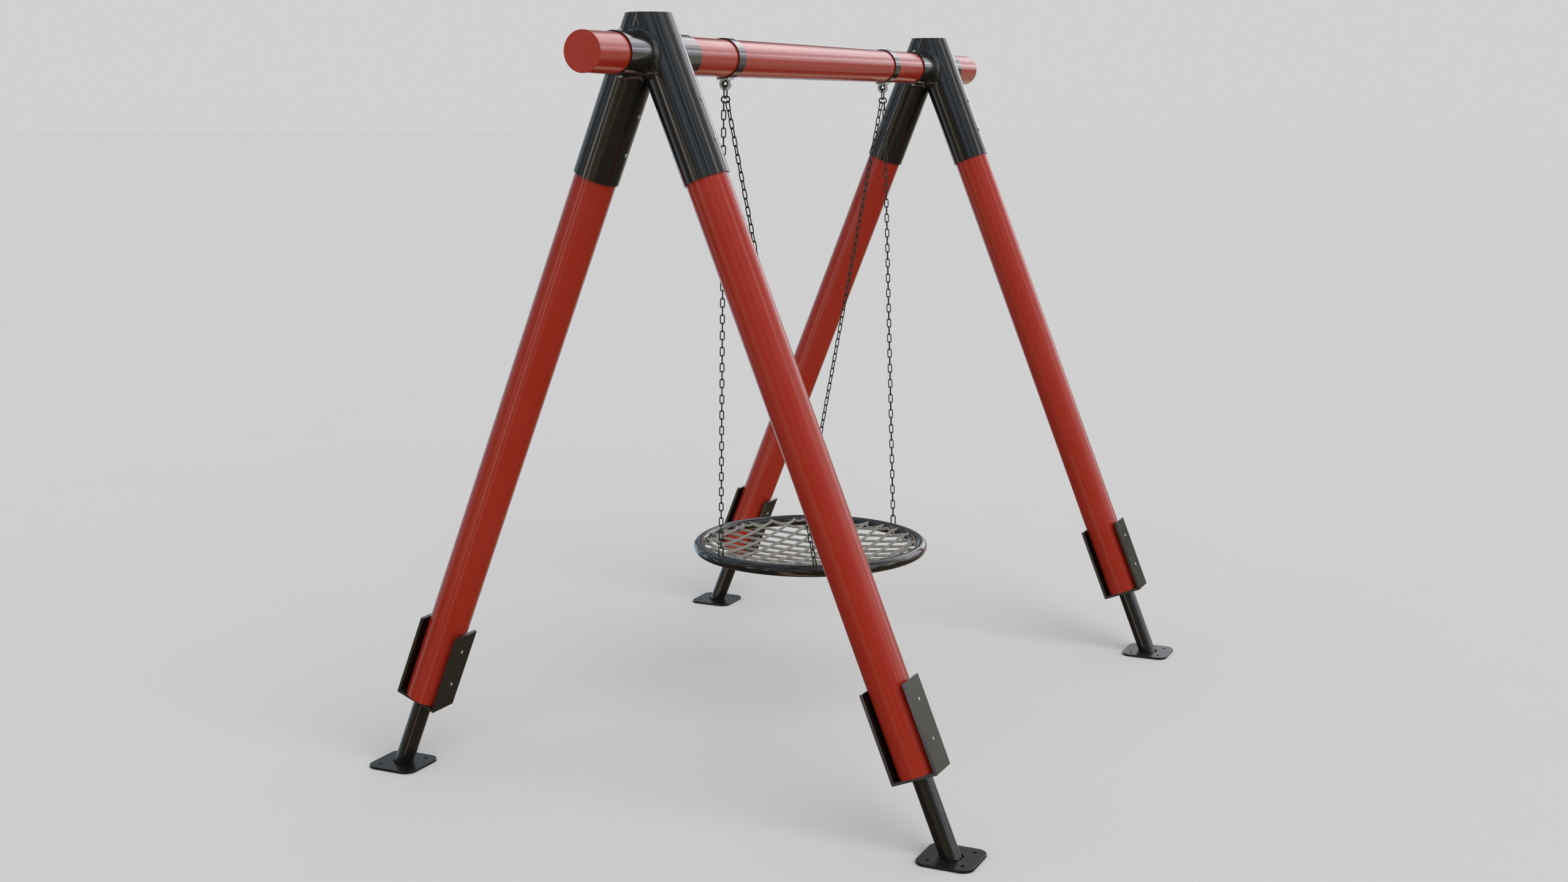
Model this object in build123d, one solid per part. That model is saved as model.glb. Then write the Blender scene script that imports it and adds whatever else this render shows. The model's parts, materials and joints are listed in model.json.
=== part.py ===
"""A free-standing nest swing: a round net seat on four chains under a steel A-frame stand.

Millimetres. The origin is on the ground under the middle of the beam. +X runs along the beam
and +Z is up. "Left" is the end at -X, "front" is the side at -Y.
"""

from build123d import *
import os
from math import asin, atan2, ceil, copysign, cos, degrees, radians, sin, sqrt

# ---------------------------------------------------------------- driving dimensions

# Stand
frame_half_spacing = 1442  # the two A-frames stand this far either side of the middle
foot_half_spread = 1203  # a leg's axis meets the ground this far from the beam's line
apex_height = 2996  # the axes of two legs meet here
post_radius = 80
post_wall = 5
post_bottom = 334  # distances up a leg are along its axis, from the ground
post_top = 3015

# Beam
beam_height = 2866
beam_half_length = 1935
beam_shift = 20  # the beam sits this far to the right of the middle in its collars
beam_radius = 73
beam_wall = 4
cap_thickness = 4
cap_spigot_length = 20
cap_spigot_gap = 0.4
cap_rounding = 1.5

# Corner connectors, one welded piece on each A-frame
sleeve_radius = 87.5
sleeve_bore = 81.5
sleeve_bottom = 2610
collar_radius = 79
collar_bore = 73.5
collar_half_length = 264
connector_top = 3014
connector_top_plate = 6
weld_blend = 26
seam_inner = 30  # the blended seams lie between these distances from the crossing
seam_outer = 140

# Screws, each (thread radius, head radius, head height, length under the head)
fit_gap = 0.4
thread_gap = 0.05
sleeve_screw = (5, 7.5, 4.5, 20)
sleeve_screw_places = (2733, 2884)
bracket_screw = (4, 6.5, 3.2, 26)
bracket_screw_places = (441, 593)
collar_screw = (4, 8, 5, 16)
collar_screw_inset = 50
saddle_screw = (3, 5, 4, 22)
saddle_screw_offset = 18
head_rounding = 0.6  # these three are shares of the head's height or the thread's radius
socket_floor = 0.45
socket_size = 0.65

# Feet
bracket_half_width = 67
bracket_half_span = 94
bracket_plate = 12
bracket_bottom = 322
bracket_top = 673
bracket_bend = 4
pipe_radius = 38.05
pipe_wall = 4
base_size = 220
base_thickness = 10
base_corner = 45
base_rounding = 1.5
base_hole_radius = 46
anchor_radius = 7.5
anchor_spacing = 133
tack_width = 12
tack_height = 5

# Hangers under the beam
hanger_offset = 828  # from the middle, along the beam
band_width = 60
band_bore = 73.3
band_radius = 78
saddle_half_size = 25
saddle_thickness = 5
eye_radius = 25
eye_bore = 12
eye_thickness = 12
eye_rounding = 2
eye_drop = 15  # eye centre below the saddle plate
bush_bore = 9
bush_flange_radius = 14.5
bush_flange = 1.5

# Hanger link and connecting ring
link_wire = 3
hanger_link_half_width = 13
hanger_link_length = 48
hanger_link_corner = 5.4
ring_wire = 3
ring_end_radius = 12
ring_half_straight = 6
hang_half_gap = 8  # the two chains of a ring hang this far either side of its middle
ring_clearance = 0.6  # a chain's first link crosses its ring a little out of square
touch_gap = 0.05

# Chains
chain_wire = 2.5
chain_end_radius = 8
chain_links = 55

# Seat
rim_radius = 498.5
rim_tube = 25.7
rim_wall = 3
rim_height = 742
rim_eye_angle = 27
rim_eye_wire = 3
rim_eye_half_width = 9.5
rim_eye_height = 805
drain_radius = 4
net_radius = 456
net_border = 13
net_thickness = 12
rope_width = 13
rope_pitch_x = 89
rope_pitch_y = 83.5
net_edge_height = 754
net_sag = 34.6
net_sag_radius = 472
lug_radius = 6
lug_inner = 457
lug_share_distance = 24

far_out = 5000  # further than any point of the swing from the middle

ends = {"left": -1, "right": 1}
sides = {"front": -1, "back": 1}
CENTRE_MIN = (Align.CENTER, Align.CENTER, Align.MIN)
ALONG_X = Rot(0, 90, 0)

# ---------------------------------------------------------------- places that follow from them

saddle_underside = beam_height - band_radius - touch_gap - saddle_thickness
eye_height = saddle_underside - eye_drop
hanger_link_top = eye_height - (bush_bore - link_wire - touch_gap)
hanger_link_bottom = hanger_link_top - hanger_link_length
ring_top = hanger_link_bottom + link_wire + ring_wire + touch_gap
ring_centre = ring_top - ring_end_radius
hang_slope = asin((hang_half_gap - ring_half_straight) / ring_end_radius)
hang_height = ring_centre - ring_end_radius * cos(hang_slope)


def every_leg():
    """Yields each leg's name, its end and its side."""
    for end in ends:
        for side in sides:
            yield f"{end}_{side}", ends[end], sides[side]


def leg_plane(end, side):
    """A leg's own frame: z runs up its axis from the ground, y points away from the other leg."""
    foot = (end * frame_half_spacing, side * foot_half_spread, 0)
    return Plane(foot, x_dir=(side, 0, 0), z_dir=(0, -side * foot_half_spread, apex_height))


def front_of_leg(plane, distance, reach=0):
    """A frame that far up a leg, z pointing out of the leg's front, that far out from its axis."""
    outward = plane.y_dir if plane.y_dir.Y < 0 else -plane.y_dir
    centre = plane.from_local_coords((0, 0, distance)) + outward * reach
    return Plane(centre, x_dir=plane.x_dir, z_dir=outward)


def rod(radius, bottom, top):
    """A round rod along z."""
    return Pos(0, 0, bottom) * Cylinder(radius, top - bottom, align=CENTRE_MIN)


def tube(radius, bore, bottom, top):
    return rod(radius, bottom, top) - rod(bore, bottom - 1, top + 1)


def block(low, high):
    """A box between two opposite corners."""
    size = [b - a for a, b in zip(low, high)]
    middle = [(a + b) / 2 for a, b in zip(low, high)]
    return Pos(*middle) * Box(*size)


# ---------------------------------------------------------------- fasteners


def button_head(radius, height, socket):
    """A domed head on z = 0 with a hexagon socket."""
    head = rod(radius, 0, height)
    head = fillet(head.edges().group_by(Axis.Z)[-1], height * head_rounding)
    recess = extrude(RegularPolygon(socket, 6, major_radius=False), height)
    return head - Pos(0, 0, height * socket_floor) * recess


def make_screw(kind):
    """A screw whose head sits on z = 0 and whose point is below."""
    radius, head_radius, head_height, length = kind
    return rod(radius, -length, 0) + button_head(head_radius, head_height, radius * socket_size)


def clear_hole(kind, depth):
    """What a screw's clearance hole takes away, through to that depth under the head."""
    return rod(kind[0] + fit_gap, -depth, 1)


def thread_hole(kind):
    """What a screw's threaded hole takes away."""
    return rod(kind[0] + thread_gap, -kind[3] - 1, 1)


# ---------------------------------------------------------------- stand


def collar_screw_places():
    """Frames at the head of each screw through a beam collar, z pointing out of the beam."""
    for end in ends.values():
        for inward in (-1, 1):
            x = end * frame_half_spacing + inward * (collar_half_length - collar_screw_inset)
            for up in (-1, 1):
                yield Plane((x, 0, beam_height + up * collar_radius), x_dir=(1, 0, 0), z_dir=(0, 0, up))


def saddle_screw_places():
    """Frames at the head of each screw through a saddle plate, z pointing down."""
    for end in ends.values():
        for along in (-1, 1):
            x = end * hanger_offset + along * saddle_screw_offset
            yield Plane((x, 0, saddle_underside), x_dir=(1, 0, 0), z_dir=(0, 0, -1))


def make_beam():
    half = beam_half_length - cap_thickness
    beam = ALONG_X * tube(beam_radius, beam_radius - beam_wall, -half, half)
    beam = Pos(beam_shift, 0, beam_height) * beam
    for place in collar_screw_places():
        beam -= place * thread_hole(collar_screw)
    for place in saddle_screw_places():
        beam -= place * thread_hole(saddle_screw)
    return beam


def make_end_cap(end):
    disc = rod(beam_radius, 0, cap_thickness)
    disc = fillet(disc.edges().group_by(Axis.Z)[-1], cap_rounding)
    spigot_radius = beam_radius - beam_wall - cap_spigot_gap
    cap = disc + tube(spigot_radius, spigot_radius - beam_wall, -cap_spigot_length, 0)
    beam_end = beam_shift + end * (beam_half_length - cap_thickness)
    seat = Plane((beam_end, 0, beam_height), z_dir=(end, 0, 0))
    return seat * cap


def crossed_sleeves(planes, radius, bottom):
    """Two rods along a pair of legs, each kept on its own side of the beam's line."""
    pair = Part()
    for plane in planes:
        own_side = Pos(0, copysign(far_out, plane.origin.Y), 0) * Box(*[2 * far_out] * 3)
        pair += plane * rod(radius, bottom, far_out) & own_side
    return pair


def make_connector(end):
    """Two leg sleeves and a beam collar, welded, with a flat closed top."""
    sleeves = [leg_plane(end, side) for side in sides.values()]
    middle = Pos(end * frame_half_spacing, 0, beam_height) * ALONG_X
    above = block((-far_out, -far_out, connector_top), (far_out, far_out, far_out))

    outside = Part()
    for plane in sleeves:
        outside += plane * rod(sleeve_radius, sleeve_bottom, far_out)
    outside -= above
    outside += middle * rod(collar_radius, -collar_half_length, collar_half_length)
    crossing = Vector(end * frame_half_spacing, 0, beam_height)
    offsets = {edge: edge.center() - crossing for edge in outside.edges()}
    seams = [
        edge
        for edge, offset in offsets.items()
        if abs(offset.X) > seam_inner and offset.length < seam_outer
    ]
    outside = fillet(seams, weld_blend)
    crown = block((-far_out, -far_out, apex_height), (far_out, far_out, connector_top))
    outside = outside - crown + (crossed_sleeves(sleeves, sleeve_radius, sleeve_bottom) & crown)

    hollow = crossed_sleeves(sleeves, sleeve_bore, sleeve_bottom - 1)
    hollow -= Pos(0, 0, -connector_top_plate) * above
    hollow -= middle * rod(collar_radius, -collar_half_length, collar_half_length)

    connector = outside - hollow
    connector -= middle * rod(collar_bore, -collar_half_length - 1, collar_half_length + 1)
    for plane in sleeves:
        for place in sleeve_screw_places:
            head = front_of_leg(plane, place, sleeve_radius)
            connector -= head * clear_hole(sleeve_screw, sleeve_radius - sleeve_bore + 1)
    for place in collar_screw_places():
        if place.origin.X * end > 0:
            connector -= place * clear_hole(collar_screw, collar_radius - collar_bore + 1)
    return connector


def make_post(plane):
    post = plane * tube(post_radius, post_radius - post_wall, post_bottom, post_top)
    for place in sleeve_screw_places:
        post -= front_of_leg(plane, place, sleeve_radius) * thread_hole(sleeve_screw)
    for place in bracket_screw_places:
        post -= front_of_leg(plane, place, bracket_half_span) * thread_hole(bracket_screw)
    return post


def make_bracket(plane):
    """A U of thick plate: the post stands on its floor, screwed to its front flange."""
    width, span = bracket_half_width, bracket_half_span
    outer = block((-width, -span, bracket_bottom), (width, span, bracket_top))
    inner_span = span - bracket_plate
    inner = block(
        (-width - 1, -inner_span, bracket_bottom + bracket_plate),
        (width + 1, inner_span, bracket_top + 1),
    )
    bracket = outer - inner
    corners = bracket.edges().filter_by(Axis.X).group_by(Axis.Z)[0]
    bracket = plane * fillet(corners, bracket_bend)
    for place in bracket_screw_places:
        head = front_of_leg(plane, place, bracket_half_span)
        bracket -= head * clear_hole(bracket_screw, bracket_plate + 1)
    return bracket


def make_foot_pipe(plane):
    """A pipe under the bracket, cut level with the ground, with four tacks to the base plate."""
    pipe = plane * rod(pipe_radius, -2 * pipe_radius, bracket_bottom)
    foot = plane.origin
    reach = base_hole_radius - touch_gap
    for turn in (45, 135, 225, 315):
        arm = block((0, -tack_width / 2, 0), (2 * reach, tack_width / 2, tack_height))
        pipe += Pos(foot.X, foot.Y, 0) * Rot(0, 0, turn) * (arm & rod(reach, 0, tack_height))
    pipe -= plane * rod(pipe_radius - pipe_wall, -3 * pipe_radius, bracket_bottom + 1)
    pipe -= block((-far_out, -far_out, -far_out), (far_out, far_out, 0))
    return pipe


def make_base_plate(plane):
    outline = RectangleRounded(base_size, base_size, base_corner)
    plate = extrude(outline, base_thickness)
    plate = fillet(plate.edges().group_by(Axis.Z)[-1], base_rounding)
    plate -= rod(base_hole_radius, -1, base_thickness + 1)
    for place in GridLocations(anchor_spacing, anchor_spacing, 2, 2):
        plate -= place * rod(anchor_radius, -1, base_thickness + 1)
    return Pos(plane.origin.X, plane.origin.Y, 0) * plate


# ---------------------------------------------------------------- hangers


def make_band(end):
    band = tube(band_radius, band_bore, -band_width / 2, band_width / 2)
    band = Pos(end * hanger_offset, 0, beam_height) * ALONG_X * band
    for place in saddle_screw_places():
        band -= place * clear_hole(saddle_screw, saddle_screw[-1])
    return band


def make_saddle_plate(end):
    """A square plate whose top is hollowed to fit the band."""
    half = saddle_half_size
    top = saddle_underside + 2 * saddle_thickness
    plate = block((-half, -half, saddle_underside), (half, half, top))
    plate = Pos(end * hanger_offset, 0, 0) * plate
    plate -= Pos(end * hanger_offset, 0, beam_height) * ALONG_X * rod(
        band_radius + touch_gap, -2 * half, 2 * half
    )
    for place in saddle_screw_places():
        plate -= place * clear_hole(saddle_screw, saddle_screw[-1])
    return plate


def make_swing_eye(end):
    """A thick round eye, flat where it is welded under the saddle plate."""
    half = eye_thickness / 2
    eye = rod(eye_radius, -half, half)
    eye = fillet(eye.edges(), eye_rounding)
    eye -= rod(eye_bore, -half - 1, half + 1)
    eye = Pos(end * hanger_offset, 0, eye_height) * ALONG_X * eye
    return eye - block((-far_out, -far_out, saddle_underside), (far_out, far_out, far_out))


def make_eye_bush(end):
    half = eye_thickness / 2 + touch_gap
    bush = rod(eye_bore - touch_gap, -half, half)
    for face in (-1, 1):
        bush += Pos(0, 0, face * (half + bush_flange / 2)) * Cylinder(bush_flange_radius, bush_flange)
    bush -= rod(bush_bore, -2 * half, 2 * half)
    return Pos(end * hanger_offset, 0, eye_height) * ALONG_X * bush


def bent_rod(path, radius):
    """A round rod bent along a closed or open path."""
    start = path @ 0
    direction = path % 0
    return sweep(Plane(start, z_dir=direction) * Circle(radius), path=path)


def stadium(end_radius, half_straight, plane):
    """A closed path of two straights along the plane's x, joined by half circles."""
    r, s = end_radius, half_straight
    line_top = Line((-s, r), (s, r))
    arc_right = ThreePointArc((s, r), (s + r, 0), (s, -r))
    line_bottom = Line((s, -r), (-s, -r))
    arc_left = ThreePointArc((-s, -r), (-s - r, 0), (-s, r))
    return plane * Wire([line_top, arc_right, line_bottom, arc_left])


def make_hanger_link(end):
    """A wide link through the bush, in the plane of the beam."""
    middle = (hanger_link_top + hanger_link_bottom) / 2
    face = Plane((end * hanger_offset, 0, middle), x_dir=(1, 0, 0), z_dir=(0, -1, 0))
    outline = RectangleRounded(2 * hanger_link_half_width, hanger_link_length, hanger_link_corner)
    return bent_rod(face * outline.wire(), link_wire)


def make_connecting_ring(end):
    """An oval ring across the beam, hanging in the hanger link."""
    face = Plane((end * hanger_offset, 0, ring_centre), x_dir=(0, 1, 0), z_dir=(1, 0, 0))
    return bent_rod(stadium(ring_end_radius, ring_half_straight, face), ring_wire)


# ---------------------------------------------------------------- chains and seat


class ChainLine:
    """The straight line of one chain, from its connecting ring to the middle of the rim tube."""

    def __init__(self, end, side):
        angle = radians(rim_eye_angle)
        self.hang = Vector(end * hanger_offset, side * hang_half_gap, hang_height)
        rim_point = Vector(
            end * rim_radius * cos(angle), side * rim_radius * sin(angle), rim_height
        )
        self.rim_point = rim_point
        self.down = (rim_point - self.hang).normalized()
        self.eye = self.hang + self.down * ((rim_eye_height - hang_height) / self.down.Z)
        self.across = Vector(0, 0, 1).cross(self.down).normalized()
        self.along = self.down.cross(self.across)

    def link_plane(self, distance, turned):
        """A link's frame, that far down the line: x runs down the line, y across the link."""
        normal = self.across if turned else self.along
        return Plane(self.hang + self.down * distance, x_dir=self.down, z_dir=normal)


def make_chain(line):
    """Welded long links, each turned a quarter from the last, pulled tight."""
    span = (line.eye - line.hang).length
    slack = touch_gap * 2
    ends_inside = ring_wire + ring_clearance + rim_eye_wire
    inner_length = (span + ends_inside + chain_links * slack) / chain_links
    half_straight = inner_length / 2 + chain_wire - chain_end_radius
    pitch = inner_length - slack
    first = inner_length / 2 - ring_wire - ring_clearance
    flat = bent_rod(stadium(chain_end_radius, half_straight, Plane.XY), chain_wire).solid()
    links = []
    for index in range(chain_links):
        plane = line.link_plane(first + index * pitch, turned=index % 2 == 0)
        links.append(plane.location * flat)
    return Compound(links)


def make_rim():
    ring = Torus(rim_radius, rim_tube) - Torus(rim_radius, rim_tube - rim_wall)
    for turn in (0, 180):
        ring -= Rot(0, 0, turn) * Pos(0, rim_radius, 0) * rod(drain_radius, -2 * rim_tube, 0)
    return Pos(0, 0, rim_height) * ring


def rim_solid():
    """The rim's outside, a touch larger, for trimming what is welded to it."""
    return Pos(0, 0, rim_height) * Torus(rim_radius, rim_tube + touch_gap)


def make_rim_eye(line):
    """A U of round rod, welded on the rim in line with its chain."""
    half = rim_eye_half_width
    crown = line.eye + line.down * half
    length = (line.rim_point - crown).length
    arc = ThreePointArc((0, -half), (-half, 0), (0, half))
    legs = [Line((length, -half), (0, -half)), Line((0, half), (length, half))]
    plane = Plane(crown, x_dir=line.down, z_dir=line.along)
    path = plane * Wire([legs[0], arc, legs[1]])
    staple = bent_rod(path, rim_eye_wire) - rim_solid()
    return staple.solids().sort_by(Axis.Z)[-1]


def rope_places(pitch, shifted):
    """Distances of parallel ropes from the seat's middle, as far as the net's border."""
    count = ceil(net_radius / pitch)
    offset = pitch / 2 if shifted else 0
    places = [index * pitch + offset for index in range(-count, count + 1)]
    return [place for place in places if abs(place) < net_radius - 2 * rope_width]


def net_height(radius):
    """Height of the net's middle surface at that distance from the seat's axis."""
    return net_edge_height - net_sag * (1 - (radius / net_sag_radius) ** 2)


def make_net():
    """The net as a dished grid of flat bars inside a round border."""
    bars = Circle(net_radius) - Circle(net_radius - net_border)
    bar_reach = net_radius - net_border / 2
    for x in rope_places(rope_pitch_x, shifted=True):
        bars += Pos(x, 0) * Rectangle(rope_width, 2 * sqrt(bar_reach**2 - x**2))
    for y in rope_places(rope_pitch_y, shifted=False):
        bars += Pos(0, y) * Rectangle(2 * sqrt(bar_reach**2 - y**2), rope_width)
    bars &= Circle(net_radius)
    grid = extrude(bars, 2 * rim_height)

    half = net_thickness / 2
    stations = (0, net_radius / 2, net_radius)
    under = [(r, net_height(r) - half) for r in stations]
    over = [(r, net_height(r) + half) for r in stations]
    outline = Wire(
        [
            ThreePointArc(*under),
            Line(under[-1], over[-1]),
            ThreePointArc(*over[::-1]),
            Line(over[0], under[0]),
        ]
    )
    dish = revolve(Plane.XZ * make_face(outline), Axis.Z)
    return grid & dish


def lug_angles():
    """Directions of the rope ends; ends closer than a lug's width share a lug."""
    points = []
    for x in rope_places(rope_pitch_x, shifted=True):
        points += [(x, s * sqrt(net_radius**2 - x**2)) for s in (-1, 1)]
    for y in rope_places(rope_pitch_y, shifted=False):
        points += [(s * sqrt(net_radius**2 - y**2), y) for s in (-1, 1)]
    angles = sorted(atan2(y, x) for x, y in points)
    groups = [[angles[0]]]
    for angle in angles[1:]:
        if (angle - groups[-1][-1]) * net_radius < lug_share_distance:
            groups[-1].append(angle)
        else:
            groups.append([angle])
    return [degrees(sum(group) / len(group)) for group in groups]


def make_lugs():
    """Short stubs welded inside the rim, one at each rope end."""
    stub = Pos(0, 0, net_edge_height) * ALONG_X * rod(lug_radius, lug_inner, rim_radius)
    stub = (stub - rim_solid()).solids().sort_by(Axis.X)[0]
    return Compound([Rot(0, 0, angle) * stub for angle in lug_angles()])


# ---------------------------------------------------------------- every node


def build_nodes():
    nodes = {"beam": make_beam()}
    screws = {"sleeve_screws": [], "bracket_screws": []}
    rim_eyes = []

    for name, end, side in every_leg():
        plane = leg_plane(end, side)
        nodes[f"post_{name}"] = make_post(plane)
        nodes[f"post_bracket_{name}"] = make_bracket(plane)
        nodes[f"foot_pipe_{name}"] = make_foot_pipe(plane)
        nodes[f"base_plate_{name}"] = make_base_plate(plane)
        for place in sleeve_screw_places:
            seat = front_of_leg(plane, place, sleeve_radius + touch_gap)
            screws["sleeve_screws"].append(seat * make_screw(sleeve_screw))
        for place in bracket_screw_places:
            seat = front_of_leg(plane, place, bracket_half_span + touch_gap)
            screws["bracket_screws"].append(seat * make_screw(bracket_screw))
        line = ChainLine(end, side)
        nodes[f"chain_{name}"] = make_chain(line)
        rim_eyes.append(make_rim_eye(line))

    for name, end in ends.items():
        nodes[f"beam_end_cap_{name}"] = make_end_cap(end)
        nodes[f"corner_connector_{name}"] = make_connector(end)
        nodes[f"hanger_band_{name}"] = make_band(end)
        nodes[f"saddle_plate_{name}"] = make_saddle_plate(end)
        nodes[f"swing_eye_{name}"] = make_swing_eye(end)
        nodes[f"eye_bush_{name}"] = make_eye_bush(end)
        nodes[f"hanger_link_{name}"] = make_hanger_link(end)
        nodes[f"connecting_ring_{name}"] = make_connecting_ring(end)

    screws["collar_screws"] = [place * make_screw(collar_screw) for place in collar_screw_places()]
    screws["saddle_screws"] = [place * make_screw(saddle_screw) for place in saddle_screw_places()]
    for name, shapes in {**screws, "rim_eyes": rim_eyes}.items():
        nodes[name] = Compound([solid for shape in shapes for solid in shape.solids()])

    nodes["seat_rim"] = make_rim()
    nodes["seat_net"] = make_net()
    nodes["net_lugs"] = make_lugs()
    return nodes


os.makedirs("parts", exist_ok=True)
for node, shape in build_nodes().items():
    export_step(shape, f"parts/{node}.step")
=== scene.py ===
"""Looks of the nest swing: paints, zinc, dark chain and a woven rope net, with floor, light and camera.

Metres, in the CAD part's frame. The net is the only CAD node that is replaced: a rigid dished grid there,
real ropes here. Everything else keeps its CAD shape and gets a procedural material.
"""

import json
from math import atan2, ceil, cos, pi, radians, sin, sqrt

import bpy
import numpy as np
from mathutils import Matrix, Vector


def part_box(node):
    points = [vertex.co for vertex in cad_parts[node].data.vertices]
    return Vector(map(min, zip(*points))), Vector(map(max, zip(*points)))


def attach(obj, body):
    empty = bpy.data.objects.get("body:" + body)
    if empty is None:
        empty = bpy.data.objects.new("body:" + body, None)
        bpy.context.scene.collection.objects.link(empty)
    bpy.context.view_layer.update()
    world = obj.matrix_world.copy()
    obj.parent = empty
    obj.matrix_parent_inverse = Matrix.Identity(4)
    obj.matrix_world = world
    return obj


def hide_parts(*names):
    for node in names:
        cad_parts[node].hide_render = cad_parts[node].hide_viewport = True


# ---------------------------------------------------------------- sizes of the net

rope_radius = 0.0062
rope_strands = 6
rope_lay = 0.105  # a strand goes once round in this length
strand_depth = 0.16  # of the rope's radius
strand_fullness = 0.7  # below 1, strands are full and the grooves between them narrow
rope_ring = 30  # vertices round a rope
rope_step = 0.0035
rope_turn = 1.7  # radians from one rope's twist to the next one's
rope_pitch_x = 0.089  # between ropes that run across the beam
rope_pitch_y = 0.0835  # between ropes that run along it
cross_lift = 0.0054  # each rope of a crossing is this far above or below the net's surface
plain_lift = 0.0042  # and this far between crossings
cross_reach = 0.020  # a crossing lifts or lowers a rope over about this far on each side
end_swell = 1.1  # a rope's spliced end is this much thicker
end_length = 0.045
straight_limit = 0.435  # ropes are straight and parallel within this radius
shortest_straight = 0.05  # half the least straight stretch that a rope keeps
straight_points = 400
rope_smoothing = 60
net_half_thickness = 0.006  # of the CAD part's grid
edge_margin = 4 * rope_radius  # no rope runs nearer than this to the net's edge
lug_inner = 0.457  # radius at which the lugs hold the border rope
lug_tip = 0.4765  # radius at which the other ropes end, inside the lugs
lug_height = 0.754
lug_share_distance = 0.024  # rope ends closer together than this share a lug
border_slack = 0.30  # how deep the border rope hangs in from the lugs, as a share of their spacing
border_slack_limit = 0.028
border_drop = 0.3  # its drop, as a share of that depth
border_thinness = 0.8  # its radius, as a share of the other ropes'
border_points = 12  # from one lug to the next
border_smoothing = 4

# ---------------------------------------------------------------- colours

pale = (0.638, 0.638, 0.638, 1)
floor_colour = (0.758, 0.750, 0.742)  # under these lights the floor then looks as pale as the backdrop
red = (0.33, 0.018, 0.007, 1)
red_faded = (0.36, 0.030, 0.015, 1)
black = (0.006, 0.006, 0.006, 1)
black_faded = (0.014, 0.014, 0.013, 1)
zinc = (0.70, 0.69, 0.66, 1)
zinc_dull = (0.48, 0.47, 0.45, 1)
chain_dark = (0.020, 0.019, 0.018, 1)
chain_worn = (0.060, 0.058, 0.054, 1)
nylon = (0.012, 0.012, 0.013, 1)
nylon_worn = (0.03, 0.03, 0.032, 1)
rope_light = (0.34, 0.325, 0.295, 1)
# the dark rope colour is painted shade in the grooves between strands, and also the tone of dark yarns and
# dirt
rope_dark_shade_and_dirt = (0.13, 0.122, 0.11, 1)

# ---------------------------------------------------------------- reflected surroundings

# Each is a ramp of (noise level, colour)
near_walls = [
    (0.40, (0.05, 0.04, 0.015, 1)),
    (0.50, (0.30, 0.26, 0.13, 1)),
    (0.58, (0.60, 0.54, 0.38, 1)),
    (0.66, (2.2, 2.0, 2.2, 1)),
]
back_walls = [
    (0.38, (0.16, 0.19, 0.22, 1)),
    (0.50, (0.42, 0.52, 0.58, 1)),
    (0.62, (0.85, 1.0, 1.1, 1)),
]
front_walls = [
    (0.36, (0.10, 0.09, 0.07, 1)),
    (0.48, (0.30, 0.28, 0.23, 1)),
    (0.60, (0.60, 0.58, 0.50, 1)),
]
dim_sky = [
    (0.38, (0.09, 0.10, 0.11, 1)),
    (0.48, (0.26, 0.31, 0.35, 1)),
    (0.58, (0.54, 0.62, 0.68, 1)),
    (0.66, (0.95, 1.02, 1.08, 1)),
]
front_sky = [
    (0.40, (0.30, 0.31, 0.30, 1)),
    (0.50, (0.90, 0.92, 0.92, 1)),
    (0.59, (2.1, 2.1, 2.2, 1)),
]
bright_sky = [
    (0.38, (0.8, 0.95, 1.05, 1)),
    (0.48, (1.9, 1.95, 2.1, 1)),
    (0.60, (3.6, 3.3, 3.3, 1)),
]
ground_across = [  # strips of ground, from the front at 0 to the back at 1
    (0.40, (0.12, 0.09, 0.06, 1)),
    (0.44, (0.01, 0.008, 0.006, 1)),
    (0.475, (0.75, 0.52, 0.38, 1)),
    (0.56, (0.80, 0.57, 0.42, 1)),
    (0.60, (0.08, 0.06, 0.05, 1)),
]
far_direction = (0.9, 0.42, 0)
front_direction = (0.42, -0.9, 0)
wall_stretch = (1, 1, 0.35)
wall_noise = 5.5
sky_stretch = (0.6, 0.6, 11)  # thin level layers, which the beam draws out into fine lines
sky_noise = 2.6
ground_wander = 0.04

# Where one part gives way to the next, as the share of a direction that lies along an axis
near_to_far = (-0.3, 0.4)  # along far_direction
back_to_front = (-0.1, 0.3)  # along front_direction
dim_to_front = (0.5, 0.9)  # along front_direction
sky_opens = (0.45, 0.85)  # along +X
sky_closes = (0.08, 0.32)  # along +Y
walls_to_sky = (0.02, 0.12)  # along +Z
ground_to_walls = (-0.36, -0.30)  # along +Z

# ---------------------------------------------------------------- light and floor

even_colour = (0.93, 0.96, 1.0, 1)
even_strength = 0.55
key_colour = (1.0, 0.97, 0.93)
key_strength = 1.5
key_softness = 50  # degrees
key_turn = (38, -30, 0)  # degrees
floor_size = 600
floor_gap = 0.002  # the floor lies this far under the base plates

# ---------------------------------------------------------------- camera

camera_place = (-7.5325, -3.3499, 2.6820)
camera_yaw = 0.432763  # radians from +X towards +Y
camera_pitch = -0.176297
lens = 43.14  # mm
sensor_width = 36  # mm
view_depth = 200


# ---------------------------------------------------------------- shader helpers


def new_tree(name):
    """A new material and its node tree, which starts as a lone Principled shader."""
    material = bpy.data.materials.new(name)
    material.use_nodes = True
    return material, material.node_tree


def put(tree, kind, inputs=None, **settings):
    """Adds a node. Each input is a value, or a socket to link from."""
    node = tree.nodes.new(kind)
    for key, value in settings.items():
        setattr(node, key, value)
    for key, value in (inputs or {}).items():
        if isinstance(value, bpy.types.NodeSocket):
            tree.links.new(value, node.inputs[key])
        else:
            node.inputs[key].default_value = value
    return node


def object_coords(tree, stretch=(1, 1, 1)):
    coords = put(tree, "ShaderNodeTexCoord").outputs["Object"]
    return put(tree, "ShaderNodeMapping", {"Vector": coords, "Scale": stretch}).outputs[0]


def noise(tree, coords, scale, detail=3, roughness=0.55):
    settings = {"Vector": coords, "Scale": scale, "Detail": detail, "Roughness": roughness}
    return put(tree, "ShaderNodeTexNoise", settings).outputs[0]


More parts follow.
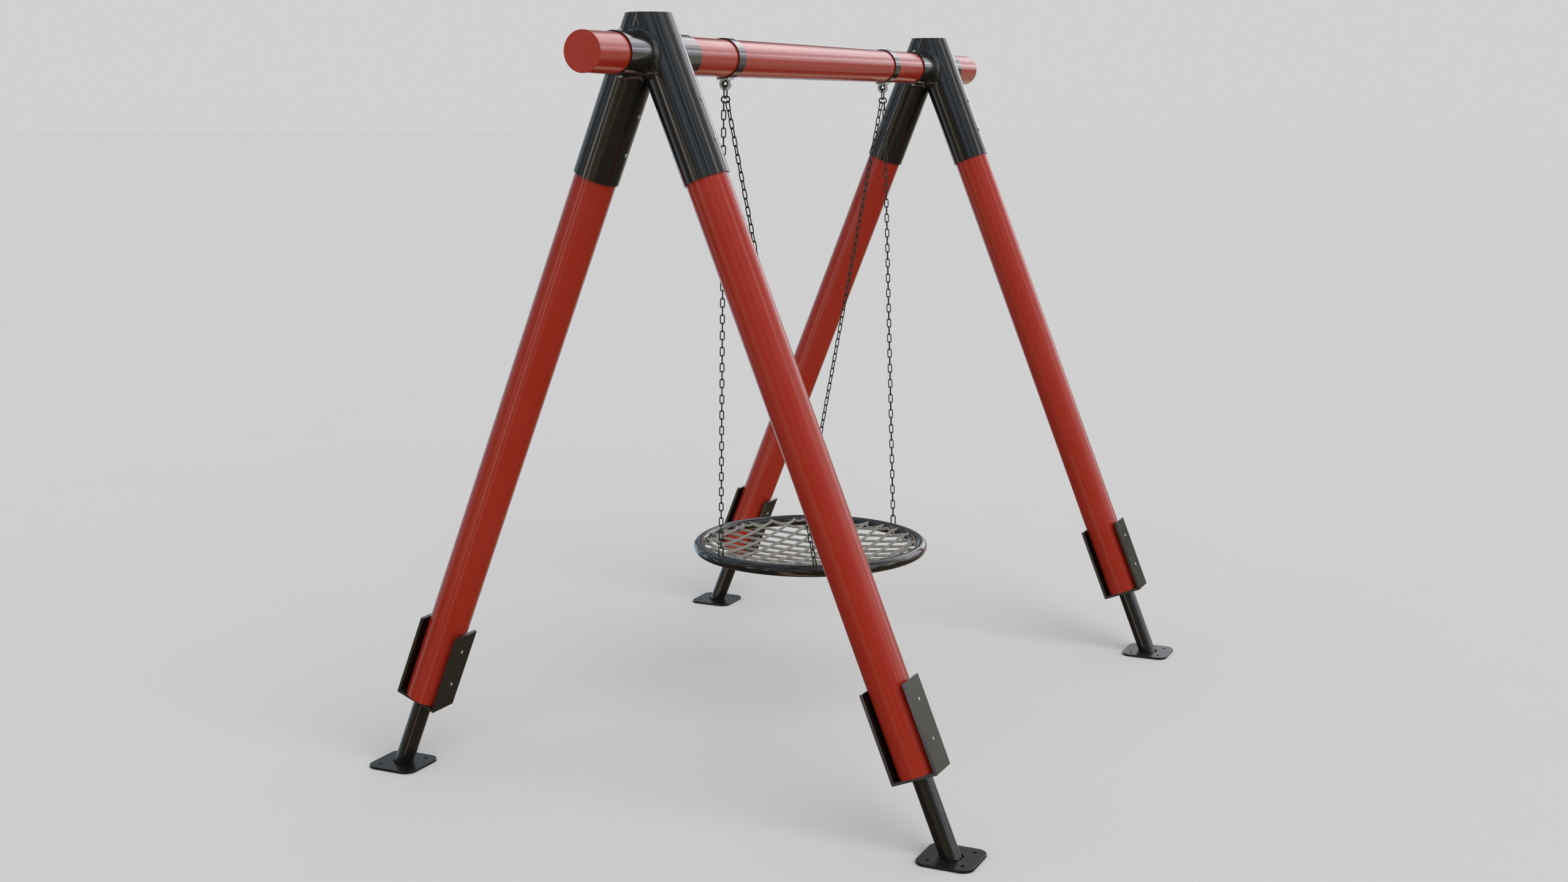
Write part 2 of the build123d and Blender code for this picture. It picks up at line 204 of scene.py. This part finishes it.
def spread(tree, value, low, high, start=0.3, end=0.7):
    """Stretches the middle of a 0 to 1 value over a wanted range."""
    inputs = {"Value": value, "From Min": start, "From Max": end, "To Min": low, "To Max": high}
    return put(tree, "ShaderNodeMapRange", inputs).outputs[0]


def blend_colours(tree, amount, first, second):
    node = put(tree, "ShaderNodeMix", data_type="RGBA")
    for socket, value in ((node.inputs[0], amount), (node.inputs[6], first), (node.inputs[7], second)):
        if isinstance(value, bpy.types.NodeSocket):
            tree.links.new(value, socket)
        else:
            socket.default_value = value
    return node.outputs[2]


def colour_ramp(tree, value, stops):
    """Turns a value into a colour by (position, colour) stops."""
    node = put(tree, "ShaderNodeValToRGB", {"Fac": value})
    elements = node.color_ramp.elements
    while len(elements) < len(stops):
        elements.new(0.5)
    for element, (position, colour) in zip(elements, stops):
        element.position = position
        element.color = colour
    return node.outputs["Color"]


def bump(tree, height, distance, strength=1.0, under=None):
    inputs = {"Height": height, "Distance": distance, "Strength": strength}
    if under is not None:
        inputs["Normal"] = under
    return put(tree, "ShaderNodeBump", inputs).outputs[0]


def surface(tree, **inputs):
    """Sets the Principled shader's inputs, given with underscores for spaces."""
    principled = tree.nodes["Principled BSDF"]
    for key, value in inputs.items():
        socket = principled.inputs[key.replace("_", " ")]
        if isinstance(value, bpy.types.NodeSocket):
            tree.links.new(value, socket)
        else:
            socket.default_value = value


# ---------------------------------------------------------------- materials


def paint(name, fresh, faded, roughness, shine=0.5):
    """Glossy powder coat, faintly mottled, rippled and dusty."""
    material, tree = new_tree(name)
    coords = object_coords(tree)
    cloud = noise(tree, coords, 2.5, detail=6)
    grain = noise(tree, coords, 60, detail=4)
    dust = noise(tree, coords, 9, detail=8, roughness=0.7)
    colour = blend_colours(tree, spread(tree, cloud, 0.0, 0.6), fresh, faded)
    colour = blend_colours(tree, spread(tree, grain, 0.0, 0.12), colour, faded)
    peel = bump(tree, noise(tree, coords, 160, detail=1), 0.0001, 0.02)
    ripple = bump(tree, noise(tree, coords, 14, detail=1), 0.0008, 0.06, under=peel)
    surface(
        tree,
        Base_Color=colour,
        Roughness=spread(tree, dust, roughness, roughness + 0.08),
        Normal=ripple,
        Specular_IOR_Level=shine,
    )
    return material


def zinc_coat(name):
    """Zinc-coated steel with a faint crystal pattern and dull patches."""
    material, tree = new_tree(name)
    coords = object_coords(tree)
    crystals = put(tree, "ShaderNodeTexVoronoi", {"Vector": coords, "Scale": 260}).outputs["Color"]
    patches = noise(tree, coords, 70, detail=6)
    colour = blend_colours(tree, spread(tree, patches, 0.0, 0.8), zinc, zinc_dull)
    colour = blend_colours(tree, 0.12, colour, crystals)
    scratches = noise(tree, object_coords(tree, (300, 1500, 900)), 1, detail=3)
    surface(
        tree,
        Base_Color=colour,
        Metallic=0.55,
        Roughness=spread(tree, patches, 0.3, 0.5),
        Normal=bump(tree, scratches, 0.0002, 0.25),
    )
    return material


def weathered_chain(name):
    """Dark weathered chain steel with brighter worn spots and a rough skin."""
    material, tree = new_tree(name)
    coords = object_coords(tree)
    wear = noise(tree, coords, 110, detail=5)
    skin = noise(tree, coords, 900, detail=3)
    colour = blend_colours(tree, spread(tree, wear, 0.0, 1.0, 0.45, 0.7), chain_dark, chain_worn)
    surface(
        tree,
        Base_Color=colour,
        Metallic=0.3,
        Roughness=spread(tree, wear, 0.55, 0.4),
        Normal=bump(tree, skin, 0.0003, 0.4),
    )
    return material


def moulded_nylon(name):
    """Black nylon with a fine matt skin and scuffs."""
    material, tree = new_tree(name)
    coords = object_coords(tree)
    scuffs = noise(tree, coords, 150, detail=6)
    surface(
        tree,
        Base_Color=blend_colours(tree, spread(tree, scuffs, 0, 1), nylon, nylon_worn),
        Roughness=spread(tree, scuffs, 0.42, 0.62),
        Normal=bump(tree, noise(tree, coords, 1500), 0.0002, 0.3),
    )
    return material


def rope_fibre(name):
    """Twisted rope: yarns that follow each strand, painted shade darkening the grooves, with some dirt.

    "lay" runs along the strands and "groove" is 1 on a strand's crown and 0 between strands.
    """
    material, tree = new_tree(name)
    lay = put(tree, "ShaderNodeAttribute", attribute_name="lay").outputs["Vector"]
    crown = put(tree, "ShaderNodeAttribute", attribute_name="groove").outputs["Fac"]
    along = put(tree, "ShaderNodeMapping", {"Vector": lay, "Scale": (900, 900, 40)}).outputs[0]
    yarns = noise(tree, along, 1, detail=3, roughness=0.7)
    fuzz = noise(tree, object_coords(tree), 700, detail=4)
    dirt = noise(tree, object_coords(tree), 14, detail=5)
    # painted shade: darker in the grooves between strands, the plain fibre colour on the strands' crowns
    colour = blend_colours(tree, spread(tree, crown, 0.0, 1.0, 0.0, 0.55), rope_dark_shade_and_dirt, rope_light)
    colour = blend_colours(tree, spread(tree, yarns, 0.45, 0.0), colour, rope_dark_shade_and_dirt)
    colour = blend_colours(tree, spread(tree, dirt, 0.0, 0.35), colour, rope_dark_shade_and_dirt)
    yarn_bump = bump(tree, yarns, 0.0008, 0.6)
    surface(
        tree,
        Base_Color=colour,
        Roughness=spread(tree, fuzz, 0.72, 0.92),
        Normal=bump(tree, fuzz, 0.0005, 0.35, under=yarn_bump),
        Sheen_Weight=0.25,
        Sheen_Roughness=0.5,
    )
    return material


def paint_cad_nodes(frame, materials):
    """Gives every CAD node the material of its slot in the record."""
    for part in frame["record"]["subparts"]:
        for material_slot in frame["nodes"][part["node"]].material_slots:
            material_slot.material = materials[part["material_slot"]]


# ---------------------------------------------------------------- rope net


def rope_places(net_radius, pitch, shifted):
    """Distances of parallel ropes from the seat's middle, as far as the net's border."""
    count = ceil(net_radius / pitch)
    offset = pitch / 2 if shifted else 0
    places = [index * pitch + offset for index in range(-count, count + 1)]
    return [place for place in places if abs(place) < net_radius - edge_margin]


def group_lugs(angles, radius):
    """Each lug's angle and the rope ends it holds: ends closer than a lug's width share one."""
    ordered = sorted(angles)
    groups = [[ordered[0]]]
    for angle in ordered[1:]:
        if (angle - groups[-1][-1]) * radius < lug_share_distance:
            groups[-1].append(angle)
        else:
            groups.append([angle])
    return {angle: sum(group) / len(group) for group in groups for angle in group}


def round_point(radius, angle, height=0.0):
    return np.array([radius * cos(angle), radius * sin(angle), height])


def resample(points, step, closed):
    """Evenly spaced points along a polyline."""
    if closed:
        points = np.vstack([points, points[:1]])
    lengths = np.linalg.norm(np.diff(points, axis=0), axis=1)
    places = np.concatenate([[0], np.cumsum(lengths)])
    count = max(8, int(round(places[-1] / step)))
    wanted = np.linspace(0, places[-1], count + 1)
    if closed:
        wanted = wanted[:-1]
    return np.column_stack([np.interp(wanted, places, points[:, axis]) for axis in range(3)])


def smooth(points, rounds, closed):
    """Rounds a polyline off and keeps the ends of an open one."""
    points = points.copy()
    for _ in range(rounds):
        before, after = np.roll(points, 1, axis=0), np.roll(points, -1, axis=0)
        eased = (before + 2 * points + after) / 4
        if not closed:
            eased[0], eased[-1] = points[0], points[-1]
        points = eased
    return points


def rope_mesh(path, radii, closed, phase):
    """Vertices, faces and shading values of a twisted rope along a path."""
    count = len(path)
    after = np.roll(path, -1, axis=0)
    before = np.roll(path, 1, axis=0)
    if not closed:
        after[-1] = path[-1]
        before[0] = path[0]
    forward = after - before
    forward /= np.linalg.norm(forward, axis=1)[:, None]
    steps = np.linalg.norm(np.diff(path, axis=0), axis=1)
    along = np.concatenate([[0], np.cumsum(steps)])
    total = along[-1] + (np.linalg.norm(path[0] - path[-1]) if closed else 0)
    lay = total / max(1, round(total / rope_lay)) if closed else rope_lay
    side = np.cross(forward, [0, 0, 1])
    side /= np.linalg.norm(side, axis=1)[:, None]
    top = np.cross(side, forward)

    angles = 2 * pi * np.arange(rope_ring) / rope_ring
    twist = 2 * pi * along / lay + phase
    strand_angle = angles[None, :] - twist[:, None]
    crown = np.abs(np.cos(rope_strands / 2 * strand_angle))
    reach = radii[:, None] * (1 - strand_depth + strand_depth * crown**strand_fullness)
    outward = np.cos(angles)[None, :, None] * side[:, None] + np.sin(angles)[None, :, None] * top[:, None]
    vertices = (path[:, None] + reach[..., None] * outward).reshape(-1, 3)
    straightened = np.stack(
        [
            rope_radius * np.cos(strand_angle),
            rope_radius * np.sin(strand_angle),
            np.broadcast_to(along[:, None], strand_angle.shape),
        ],
        axis=-1,
    ).reshape(-1, 3)
    grooves = crown.reshape(-1)

    faces = []
    for row in range(count if closed else count - 1):
        below, above = row * rope_ring, (row + 1) % count * rope_ring
        for column in range(rope_ring):
            after_column = (column + 1) % rope_ring
            faces.append((below + column, below + after_column, above + after_column, above + column))
    if not closed:
        faces.append(tuple(range(rope_ring))[::-1])
        faces.append(tuple(range((count - 1) * rope_ring, count * rope_ring)))
    return vertices, faces, straightened, grooves


def build_ropes(name, ropes, material):
    """One object from several ropes, each given as (path, radii, closed)."""
    vertices, faces, lays, grooves = [], [], [], []
    for index, (path, radii, closed) in enumerate(ropes):
        points, quads, straightened, crowns = rope_mesh(path, radii, closed, phase=index * rope_turn)
        start = sum(len(block) for block in vertices)
        faces += [tuple(corner + start for corner in quad) for quad in quads]
        vertices.append(points)
        lays.append(straightened)
        grooves.append(crowns)
    mesh = bpy.data.meshes.new(name)
    mesh.from_pydata(np.vstack(vertices).tolist(), [], faces)
    mesh.attributes.new("lay", "FLOAT_VECTOR", "POINT").data.foreach_set("vector", np.vstack(lays).ravel())
    # the groove values drive the rope material's painted shade in the grooves
    mesh.attributes.new("groove", "FLOAT", "POINT").data.foreach_set("value", np.concatenate(grooves))
    mesh.polygons.foreach_set("use_smooth", [True] * len(mesh.polygons))
    mesh.materials.append(material)
    mesh.validate()
    mesh.update()
    rope = bpy.data.objects.new(name, mesh)
    bpy.context.scene.collection.objects.link(rope)
    return rope


class Net:
    """The dished net: where its ropes run, and how high its surface is."""

    def __init__(self):
        low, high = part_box("seat_net")
        self.middle = (Vector(low) + Vector(high)) / 2
        self.radius = (high[0] - low[0]) / 2
        self.edge_height = high[2] - net_half_thickness
        self.low_height = low[2] + net_half_thickness
        self.x_places = rope_places(self.radius, rope_pitch_x, shifted=True)
        self.y_places = rope_places(self.radius, rope_pitch_y, shifted=False)
        angles = [end for x in self.x_places for end in self.end_angles(x, 1)]
        angles += [end for y in self.y_places for end in self.end_angles(y, 0)]
        self.lugs = group_lugs(angles, self.radius)

    def end_angles(self, place, axis):
        """Directions of the two ends of a rope that runs along x (axis 0) or y (axis 1)."""
        reach = sqrt(self.radius**2 - place**2)
        if axis == 0:
            return [atan2(place, -reach), atan2(place, reach)]
        return [atan2(-reach, place), atan2(reach, place)]

    def height(self, x, y):
        share = np.clip(np.hypot(x, y) / self.radius, 0, 1)
        return self.low_height + (self.edge_height - self.low_height) * share**2

    def rope(self, place, axis):
        """Path and radii of one rope, from its lug across the net to the opposite lug."""
        crossings = np.array(self.x_places if axis == 0 else self.y_places)
        over = 1 if axis == 0 else -1
        reach = sqrt(max(straight_limit**2 - place**2, shortest_straight**2))
        straight = np.linspace(-reach, reach, straight_points)
        line = np.zeros((len(straight), 3))
        line[:, axis] = straight
        line[:, 1 - axis] = place
        nearness = np.exp(-(((straight[:, None] - crossings[None]) / cross_reach) ** 2)).sum(axis=1)
        lift = plain_lift + (cross_lift - plain_lift) * np.clip(nearness, 0, 1)
        line[:, 2] = self.height(line[:, 0], line[:, 1]) + over * lift
        ends = []
        for angle in self.end_angles(place, axis):
            lug = self.lugs[angle]
            ends.append([round_point(lug_tip, lug, lug_height), round_point(lug_inner, lug, lug_height)])
        path = np.vstack([ends[0], line, ends[1][::-1]])
        path = smooth(resample(path, rope_step / 2, closed=False), rope_smoothing, closed=False)
        path = resample(path, rope_step, closed=False)
        lengths = np.linalg.norm(np.diff(path, axis=0), axis=1)
        along = np.concatenate([[0], np.cumsum(lengths)])
        from_end = np.minimum(along, along[-1] - along)
        swell = np.clip(1 - from_end / end_length, 0, 1)
        return path, rope_radius * (1 + (end_swell - 1) * np.sqrt(swell)), False

    def border(self):
        """Path and radii of the border rope, held at the lugs and slack between them."""
        lugs = sorted(set(self.lugs.values()))
        points = []
        for index, lug in enumerate(lugs):
            following = lugs[(index + 1) % len(lugs)]
            turn = (following - lug) % (2 * pi)
            depth = min(border_slack * turn * lug_inner, border_slack_limit)
            for share in np.linspace(0, 1, border_points, endpoint=False):
                inward = depth * sin(pi * share)
                height = lug_height - border_drop * inward
                points.append(round_point(lug_inner - inward, lug + share * turn, height))
        path = smooth(resample(np.array(points), rope_step, closed=True), border_smoothing, closed=True)
        return path, np.full(len(path), rope_radius * border_thinness), True

    def build(self, material):
        along = [self.rope(place, 0) for place in self.y_places]
        across = [self.rope(place, 1) for place in self.x_places]
        pieces = [
            build_ropes("net_ropes_along_beam", along, material),
            build_ropes("net_ropes_across_beam", across, material),
            build_ropes("net_border_rope", [self.border()], material),
        ]
        for piece in pieces:
            piece.location = (self.middle.x, self.middle.y, 0)
        return pieces


# ---------------------------------------------------------------- floor, light and camera


def make_floor():
    """A wide pale floor with the faintest mottling."""
    bpy.ops.mesh.primitive_plane_add(size=floor_size)
    floor = bpy.context.object
    floor.name = "floor"
    floor.location.z = -floor_gap
    material, tree = new_tree("pale_floor")
    mottle = noise(tree, object_coords(tree), 0.8, detail=4)
    colours = [tuple(part * share for part in floor_colour) + (1,) for share in (1, 0.98)]
    surface(tree, Base_Color=blend_colours(tree, mottle, *colours), Roughness=0.9)
    floor.data.materials.append(material)
    floor.visible_glossy = False


def share_along(tree, direction, axis, limits, low=0, high=1):
    """Goes from low to high as a direction turns towards an axis."""
    inputs = {0: direction, 1: axis}
    along = put(tree, "ShaderNodeVectorMath", inputs, operation="DOT_PRODUCT").outputs["Value"]
    return spread(tree, along, low, high, *limits)


def reflected_walls(tree, direction, pattern):
    """Dark greenery behind the camera, paler walls beyond the swing."""
    near, back, front = (
        colour_ramp(tree, pattern, stops) for stops in (near_walls, back_walls, front_walls)
    )
    far = blend_colours(tree, share_along(tree, direction, front_direction, back_to_front), back, front)
    return blend_colours(tree, share_along(tree, direction, far_direction, near_to_far), near, far)


def reflected_sky(tree, direction, pattern):
    """A sky that is open ahead along the beam and shaded elsewhere."""
    layers = put(tree, "ShaderNodeMapping", {"Vector": direction, "Scale": sky_stretch}).outputs[0]
    bright = colour_ramp(tree, noise(tree, layers, sky_noise, detail=5, roughness=0.6), bright_sky)
    dim, dim_front = (colour_ramp(tree, pattern, stops) for stops in (dim_sky, front_sky))
    frontward = share_along(tree, direction, front_direction, dim_to_front)
    shaded = blend_colours(tree, frontward, dim, dim_front)
    ahead = share_along(tree, direction, (1, 0, 0), sky_opens)
    open_share = share_along(tree, direction, (0, 1, 0), sky_closes, low=ahead, high=0)
    return blend_colours(tree, open_share, shaded, bright)


def reflected_ground(tree, direction):
    """Light and dark strips of ground along the beam, with wandering edges."""
    wander = noise(tree, direction, 3, detail=3)
    wander = spread(tree, wander, 0.5 - ground_wander, 0.5 + ground_wander)
    across = share_along(tree, direction, (0, 1, 0), (-1, 1), low=-0.5, high=0.5)
    place = put(tree, "ShaderNodeMath", {0: across, 1: wander}, operation="ADD").outputs[0]
    return colour_ramp(tree, place, ground_across)


def reflected_surroundings(tree, direction):
    """What mirror-like reflections see."""
    flat = put(tree, "ShaderNodeMapping", {"Vector": direction, "Scale": wall_stretch}).outputs[0]
    pattern = noise(tree, flat, wall_noise, detail=4, roughness=0.6)
    walls = reflected_walls(tree, direction, pattern)
    sky = reflected_sky(tree, direction, pattern)
    seen = blend_colours(tree, share_along(tree, direction, (0, 0, 1), walls_to_sky), walls, sky)
    down = share_along(tree, direction, (0, 0, 1), ground_to_walls, low=1, high=0)
    return blend_colours(tree, down, seen, reflected_ground(tree, direction))


def make_world():
    """An even pale studio. Only mirror-like reflections see the surroundings."""
    world = bpy.data.worlds.new("studio")
    world.use_nodes = True
    bpy.context.scene.world = world
    tree = world.node_tree
    tree.nodes.clear()
    direction = put(tree, "ShaderNodeTexCoord").outputs["Generated"]
    reflected, even, backdrop = (
        put(tree, "ShaderNodeBackground", {"Color": colour, "Strength": strength}).outputs[0]
        for colour, strength in (
            (reflected_surroundings(tree, direction), 1.0),
            (even_colour, even_strength),
            (pale, 1.0),
        )
    )
    path = put(tree, "ShaderNodeLightPath").outputs
    glossy, seen_by_camera = path["Is Glossy Ray"], path["Is Camera Ray"]
    lit = put(tree, "ShaderNodeMixShader", {0: glossy, 1: even, 2: reflected}).outputs[0]
    shown = put(tree, "ShaderNodeMixShader", {0: seen_by_camera, 1: lit, 2: backdrop}).outputs[0]
    put(tree, "ShaderNodeOutputWorld", {"Surface": shown})


def make_key_light():
    """One large soft light, high on the camera's side."""
    light = bpy.data.lights.new("key", "SUN")
    light.energy = key_strength
    light.angle = radians(key_softness)
    light.color = key_colour
    key = bpy.data.objects.new("key", light)
    key.rotation_euler = [radians(turn) for turn in key_turn]
    key.visible_glossy = False
    bpy.context.scene.collection.objects.link(key)


def make_camera():
    """The photographer's place and angle."""
    forward = Vector(
        (
            cos(camera_yaw) * cos(camera_pitch),
            sin(camera_yaw) * cos(camera_pitch),
            sin(camera_pitch),
        )
    )
    right = Vector((sin(camera_yaw), -cos(camera_yaw), 0))
    up = right.cross(forward)
    data = bpy.data.cameras.new("camera")
    data.sensor_width = sensor_width
    data.lens = lens
    data.clip_end = view_depth
    camera = bpy.data.objects.new("camera", data)
    turn = Matrix((right, up, -forward)).transposed().to_4x4()
    camera.matrix_world = Matrix.Translation(camera_place) @ turn
    bpy.context.scene.collection.objects.link(camera)
    bpy.context.scene.camera = camera


# ---------------------------------------------------------------- build


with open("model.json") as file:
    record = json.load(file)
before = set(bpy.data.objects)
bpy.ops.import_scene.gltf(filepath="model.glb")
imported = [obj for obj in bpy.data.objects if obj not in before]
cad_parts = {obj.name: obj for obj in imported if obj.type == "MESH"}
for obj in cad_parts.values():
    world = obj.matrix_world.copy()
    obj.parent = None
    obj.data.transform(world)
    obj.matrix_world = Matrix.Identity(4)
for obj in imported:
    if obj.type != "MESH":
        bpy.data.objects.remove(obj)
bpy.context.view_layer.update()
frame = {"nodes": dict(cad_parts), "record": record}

materials = {
    "red_paint": paint("red_paint_look", red, red_faded, roughness=0.14),
    "black_paint": paint("black_paint_look", black, black_faded, roughness=0.08, shine=0.85),
    "grey_paint": paint("grey_paint_look", black, black_faded, roughness=0.2, shine=0.4),
    "zinc_steel": zinc_coat("zinc_look"),
    "chain_steel": weathered_chain("chain_look"),
    "nylon": moulded_nylon("nylon_look"),
    "rope": rope_fibre("rope_look"),
}
paint_cad_nodes(frame, materials)

for piece in Net().build(materials["rope"]):
    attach(piece, "swing")
    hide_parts("seat_net")

make_floor()
make_world()
make_key_light()
make_camera()
bpy.context.scene.view_settings.view_transform = "Standard"
